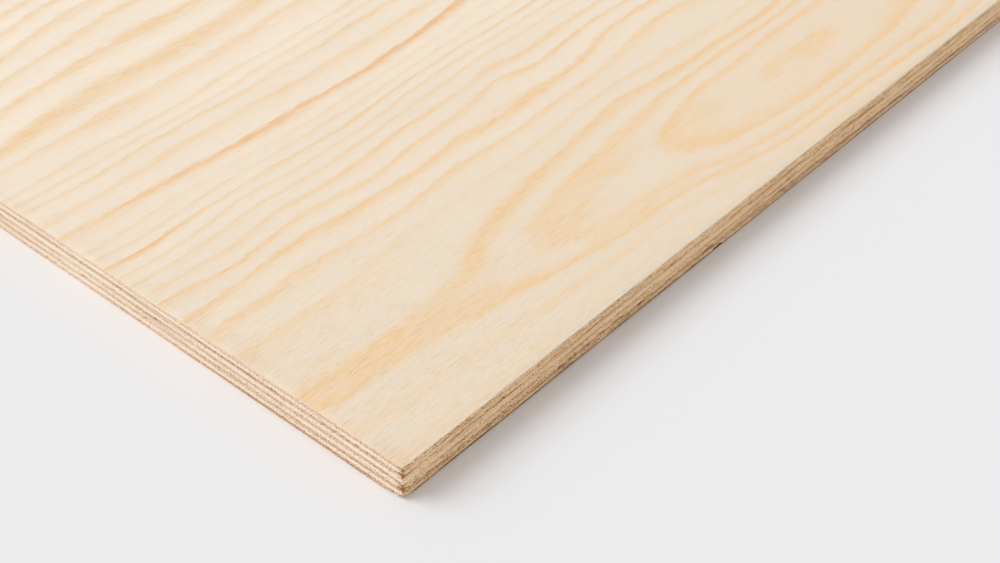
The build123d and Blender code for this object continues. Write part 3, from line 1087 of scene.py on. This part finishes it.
def sawn_side(name, clean, along, profile, low, high):
    """Darkens clean wood by its grain, blotches it, and browns it in the pits and on the worn arrises."""
    finish = Finish(name)
    looks = SIDE_LOOKS[along]
    colours = bpy.context.scene.plywood_colours
    clean = getattr(colours, clean)
    sawn = side_grain if name.startswith("side_grain") else end_grain
    share, height = sawn(finish, along, finish.level_on(along, profile, low, high))
    shreds = finish.noise(grain_size(along, looks["shred_length"], 0.27), 1.0, 0.6, (6, 3, 8))
    pores = finish.noise(grain_size(along, 0.5, 0.3), 1.0, 0.7, (5, 5, 5))
    blotches = finish.noise((40, 40, 1.3), 3.0, 0.55, (1, 6, 3))
    torn = finish.math("MULTIPLY_ADD", finish.attribute("torn"), 0.11, pores)
    chips = finish.noise((1.5, 1.5, 0.8), 3.0, 0.7, (3, 3, 3))
    share = finish.plus(share, finish.attribute("tone"), finish.spread(shreds, looks["shreds"]),
                        finish.spread(pores, looks["pores"]), finish.spread(blotches, 0.35),
                        finish.between(torn, 0.60, 0.72, 0, looks["torn"]),
                        finish.times(finish.spread(chips, 5.0), finish.attribute("wear")))
    pale = finish.mix(looks["whiter"], clean, BLEACHED)
    brown = finish.mix(1.0, clean, TANNED, "MULTIPLY")
    colour = finish.mix(finish.between(share, -1.8, 0), pale, clean)
    colour = finish.mix(finish.between(share, 0, 1), colour, brown)
    # Dark brown for dark pores and torn places; beyond it, the colour of the painted contact shadow, which
    # mostly the foot of the long edges reaches
    colour = finish.mix(finish.between(share, 1.0, 2.6, 0, 0.85), colour, DARK_BROWN)
    colour = finish.mix(finish.between(share, 3.0, 4.5, 0, 0.9), colour, CONTACT_SHADOW)
    lost = finish.between(finish.attribute("lost"), 0.05, 0.5, 0, 0.85)
    colour = finish.mix(lost, colour, colours.pit)
    finish.surface(colour, finish.between(height, 0.3, 0.7, 0.8, 0.7), height, SIDE_BUMP)


def materials():
    """The finishes, made once and shared by the plies."""
    if "sanded_face" not in bpy.data.materials:
        sanded_face("sanded_face", pale_across_face)
        sanded_face("sanded_back", pale_across_back)
        for name, settings in SAWN_SIDES.items():
            sawn_side(name, *settings)
    return bpy.data.materials


def dress(piece, outward, end_kind, edge_kind):
    """Gives the broad face, the ends and the long edges of a ply their finishes."""
    shelf = materials()
    names = [end_kind + "_end", edge_kind + "_edge"]
    if outward:
        names.append("sanded_back" if outward < 0 else "sanded_face")
    for name in names:
        piece.data.materials.append(shelf[name])
    normals = face_places()[1]
    number = np.where(np.abs(normals[:, 1]) > np.abs(normals[:, 0]), 1, 0)
    if outward:
        number = np.where(normals[:, 2] * outward > 0.8, 2, number)
    piece.data.polygons.foreach_set("material_index", number)


def hand_over(piece, node):
    """Joins the finished piece to the frame in the place of its CAD node."""
    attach(piece, "root")
    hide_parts(node)


def finish_ply(piece, node, low, high, outward, seed):
    """Colours, tears and wears a modelled ply, and joins it to the frame."""
    kind = node.split("_")[0]
    end_kind, edge_kind = ("side_grain", "end_grain") if kind == "cross" else ("end_grain", "side_grain")
    dress(piece, outward, end_kind, edge_kind)
    lay_out_map(piece, low, high, outward)
    age(piece, TONES[node], low, high)
    relief(piece, low, high, bpy.context.scene.plywood_sizes, end_kind, edge_kind, seed)
    bpy.ops.object.shade_smooth_by_angle(angle=math.radians(40))
    hand_over(piece, node)


class PLYWOOD_OT_face_veneer(bpy.types.Operator):
    """Models the face veneer, with its growth lines"""

    bl_idname = "plywood.face_veneer"
    bl_label = "Face Veneer"

    def execute(self, context):
        make_guides()
        piece, low, high = outer_ply(context.scene.plywood_sizes, "face_veneer", 1)
        add_figure(piece, drawn_heights(), beyond_photo)
        finish_ply(piece, "face_veneer", low, high, 1, FACE_SEED)
        clear_guides()
        return {"FINISHED"}


class PLYWOOD_OT_inner_plies(bpy.types.Operator):
    """Models the seven plies between the face and the back"""

    bl_idname = "plywood.inner_plies"
    bl_label = "Inner Plies"

    def execute(self, context):
        make_guides()
        for seed, node in enumerate(INNER_PLIES, INNER_SEED):
            piece, low, high = inner_ply(context.scene.plywood_sizes, node)
            finish_ply(piece, node, low, high, 0, seed)
        clear_guides()
        return {"FINISHED"}


class PLYWOOD_OT_back_veneer(bpy.types.Operator):
    """Models the back veneer, with its knocked corner and torn arris"""

    bl_idname = "plywood.back_veneer"
    bl_label = "Back Veneer"

    def execute(self, context):
        make_guides()
        piece, low, high = outer_ply(context.scene.plywood_sizes, "back_veneer", -1)
        knock_corner()
        add_figure(piece, BACK_HEIGHTS, everywhere)
        finish_ply(piece, "back_veneer", low, high, -1, BACK_SEED)
        clear_guides()
        return {"FINISHED"}


class PLYWOOD_OT_stage(bpy.types.Operator):
    """Lays the floor and sets the lights and the camera"""

    bl_idname = "plywood.stage"
    bl_label = "Stage"

    def execute(self, context):
        settings = context.scene.plywood_stage
        lay_floor(context.scene.plywood_colours)
        set_lights(settings)
        set_camera(settings)
        context.scene.view_settings.view_transform = "Standard"
        return {"FINISHED"}


def lay_floor(colours):
    bpy.ops.object.select_all(action="DESELECT")
    bpy.ops.mesh.primitive_circle_add(vertices=96, radius=FLOOR_RADIUS, fill_type="NGON")
    floor = bpy.context.object
    floor.name = "floor"
    material = bpy.data.materials.new("floor_paint")
    material.use_nodes = True
    shader = material.node_tree.nodes["Principled BSDF"]
    shader.inputs["Base Color"].default_value = (*colours.floor, 1)
    shader.inputs["Roughness"].default_value = 0.9
    shader.inputs["Specular IOR Level"].default_value = 0.0
    floor.data.materials.append(material)


def pointing(heading, rise):
    """The direction with this heading, at this angle above the floor."""
    level = math.cos(rise)
    return Vector((math.cos(heading) * level, math.sin(heading) * level, math.sin(rise)))


def set_lights(settings):
    key = bpy.data.lights.new("key", "SUN")
    key.energy = settings.key
    key.angle = settings.key_softness
    lamp = bpy.data.objects.new("key", key)
    bpy.context.scene.collection.objects.link(lamp)
    towards = pointing(settings.key_heading, settings.key_height)
    lamp.rotation_euler = towards.to_track_quat("Z", "Y").to_euler()
    world = bpy.context.scene.world or bpy.data.worlds.new("studio")
    bpy.context.scene.world = world
    world.use_nodes = True
    background = world.node_tree.nodes["Background"]
    background.inputs["Color"].default_value = (1, 1, 1, 1)
    background.inputs["Strength"].default_value = settings.fill


def set_camera(settings):
    camera = bpy.data.cameras.new("camera")
    camera.lens = settings.lens
    camera.sensor_width = 36
    camera.clip_start = 10 * MM
    holder = bpy.data.objects.new("camera", camera)
    bpy.context.scene.collection.objects.link(holder)
    roll = math.radians(CAMERA_ROLL)
    forward = pointing(math.radians(CAMERA_HEADING), -math.radians(CAMERA_DOWN))
    right = forward.cross(Vector((0, 0, 1))).normalized()
    up = right.cross(forward)
    side = right * math.cos(roll) + up * math.sin(roll)
    top = up * math.cos(roll) - right * math.sin(roll)
    turn = Matrix((side, top, -forward)).transposed()
    holder.matrix_world = Matrix.Translation(CORNER + Vector(CAMERA_PLACE) * MM) @ turn.to_4x4()
    bpy.context.scene.camera = holder


class PLYWOOD_PT_panel(bpy.types.Panel):
    """The sheet's pieces and their settings"""

    bl_idname = "PLYWOOD_PT_panel"
    bl_label = "Plywood Sheet"
    bl_space_type = "VIEW_3D"
    bl_region_type = "UI"
    bl_category = "Plywood"

    def draw(self, context):
        groups = (("plywood_sizes", PIECES), ("plywood_colours", ()), ("plywood_stage", STAGES))
        for name, operators in groups:
            box = self.layout.box()
            group = getattr(context.scene, name)
            for key in group.__annotations__:
                box.prop(group, key)
            for operator in operators:
                box.operator(operator)


PIECES = ("plywood.face_veneer", "plywood.inner_plies", "plywood.back_veneer")
STAGES = ("plywood.stage",)
CLASSES = (PlywoodSizes, PlywoodColours, PlywoodStage, PLYWOOD_OT_face_veneer, PLYWOOD_OT_inner_plies,
           PLYWOOD_OT_back_veneer, PLYWOOD_OT_stage, PLYWOOD_PT_panel)


def register():
    for kind in CLASSES:
        bpy.utils.register_class(kind)
    bpy.types.Scene.plywood_sizes = bpy.props.PointerProperty(type=PlywoodSizes)
    bpy.types.Scene.plywood_colours = bpy.props.PointerProperty(type=PlywoodColours)
    bpy.types.Scene.plywood_stage = bpy.props.PointerProperty(type=PlywoodStage)


def unregister():
    del bpy.types.Scene.plywood_sizes
    del bpy.types.Scene.plywood_colours
    del bpy.types.Scene.plywood_stage
    for kind in reversed(CLASSES):
        bpy.utils.unregister_class(kind)


def main():
    register()
    for step in PIECES + STAGES:
        group, name = step.split(".")
        getattr(getattr(bpy.ops, group), name)()
    bpy.context.view_layer.update()


if __name__ == "__main__":
    main()
